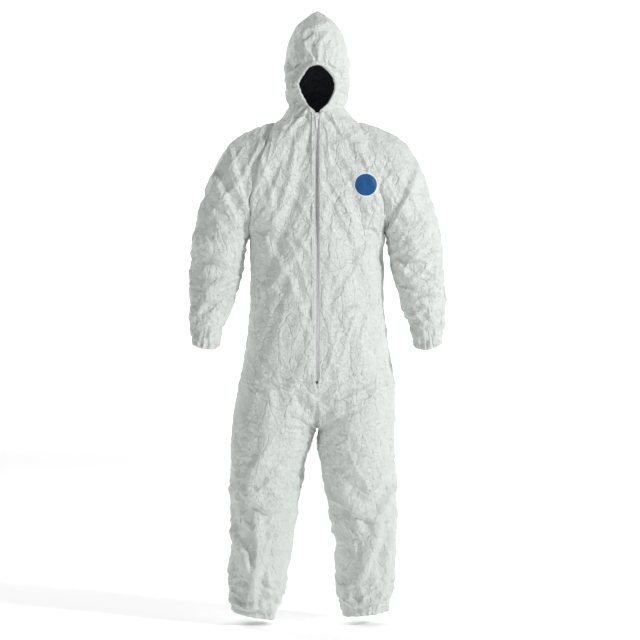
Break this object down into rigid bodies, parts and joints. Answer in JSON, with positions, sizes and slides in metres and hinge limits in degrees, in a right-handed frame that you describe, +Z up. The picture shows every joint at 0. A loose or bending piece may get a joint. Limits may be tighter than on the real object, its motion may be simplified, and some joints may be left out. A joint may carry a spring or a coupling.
{
  "type": "hooded protective coverall",
  "caption": "White nonwoven full-body coverall with an elastic-edged hood, a front zip, and elastic wrists and ankles.",
  "frame": {"origin": "the middle of the neck seam, where the wearer's neck carries the suit", "axes": "+Z up along the body, -Y out of the front, +X towards the wearer's left"},
  "size_m": [0.728, 0.2725, 1.743],
  "materials": {
    "cloth": "crinkled white flash-spun nonwoven film, soft satin sheen",
    "hem_cloth": "the same nonwoven, folded over and gathered by elastic",
    "elastic": "narrow ribbed elastic braid",
    "badge": "plain printed blue roundel with a white edge",
    "zip_tape": "white woven polyester tape",
    "zip_teeth": "white polyester coil",
    "zip_metal": "white enamelled zinc"
  },
  "bodies": {
    "torso": {"front_panel_right": "cloth", "front_panel_left": "cloth", "back_panel_right": "cloth", "back_panel_left": "cloth", "crotch_gusset": "cloth", "waist_elastic": "elastic", "chest_badge": "badge", "zip_tape_right": "zip_tape", "zip_tape_left": "zip_tape", "zip_teeth_right": "zip_teeth", "zip_teeth_left": "zip_teeth", "zip_top_stops": "zip_metal", "zip_bottom_stop": "zip_metal", "collar_right": "cloth", "collar_left": "cloth", "sleeve_head_right": "cloth", "sleeve_head_left": "cloth"},
    "hood": {"hood_right": "cloth", "hood_left": "cloth", "face_hem": "hem_cloth", "face_elastic": "elastic"},
    "slider": {"zip_slider": "zip_metal"},
    "pull_tab": {"zip_pull": "zip_metal"},
    "upper_sleeve_right": {"sleeve_upper_right": "cloth"},
    "lower_sleeve_right": {"sleeve_lower_right": "cloth", "wrist_hem_right": "hem_cloth", "wrist_elastic_right": "elastic"},
    "upper_leg_right": {"thigh_right": "cloth"},
    "lower_leg_right": {"shin_right": "cloth", "ankle_hem_right": "hem_cloth", "ankle_elastic_right": "elastic"},
    "upper_sleeve_left": {"sleeve_upper_left": "cloth"},
    "lower_sleeve_left": {"sleeve_lower_left": "cloth", "wrist_hem_left": "hem_cloth", "wrist_elastic_left": "elastic"},
    "upper_leg_left": {"thigh_left": "cloth"},
    "lower_leg_left": {"shin_left": "cloth", "ankle_hem_left": "hem_cloth", "ankle_elastic_left": "elastic"}
  },
  "joints": [
    {"name": "zip_run", "type": "slide", "parent": "torso", "child": "slider", "axis": [0, -0.0497, -0.9988], "range_m": [0, 0.727]},
    {"name": "pull_swing", "type": "hinge", "parent": "slider", "child": "pull_tab", "pos_m": [0, -0.09205, 0.00311], "axis": [-1, 0, 0], "range_deg": [0, 160]},
    {"name": "hood_back", "type": "hinge", "parent": "torso", "child": "hood", "pos_m": [0, 0.005, 0.02], "axis": [-1, 0, 0], "range_deg": [0, 35]},
    {"name": "shoulder_right", "type": "hinge", "parent": "torso", "child": "upper_sleeve_right", "pos_m": [-0.215, 0.005, -0.205], "axis": [0, 1, 0], "range_deg": [0, 45]},
    {"name": "elbow_right", "type": "hinge", "parent": "upper_sleeve_right", "child": "lower_sleeve_right", "pos_m": [-0.291, 0.005, -0.435], "axis": [-1, 0, 0], "range_deg": [0, 60]},
    {"name": "hip_right", "type": "hinge", "parent": "torso", "child": "upper_leg_right", "pos_m": [-0.115, 0, -0.757], "axis": [-1, 0, 0], "range_deg": [-10, 35]},
    {"name": "knee_right", "type": "hinge", "parent": "upper_leg_right", "child": "lower_leg_right", "pos_m": [-0.152, 0, -1.096], "axis": [1, 0, 0], "range_deg": [0, 60]},
    {"name": "shoulder_left", "type": "hinge", "parent": "torso", "child": "upper_sleeve_left", "pos_m": [0.215, 0.005, -0.205], "axis": [0, -1, 0], "range_deg": [0, 45]},
    {"name": "elbow_left", "type": "hinge", "parent": "upper_sleeve_left", "child": "lower_sleeve_left", "pos_m": [0.291, 0.005, -0.435], "axis": [-1, 0, 0], "range_deg": [0, 60]},
    {"name": "hip_left", "type": "hinge", "parent": "torso", "child": "upper_leg_left", "pos_m": [0.115, 0, -0.757], "axis": [-1, 0, 0], "range_deg": [-10, 35]},
    {"name": "knee_left", "type": "hinge", "parent": "upper_leg_left", "child": "lower_leg_left", "pos_m": [0.129, 0, -1.096], "axis": [1, 0, 0], "range_deg": [0, 60]}
  ]
}
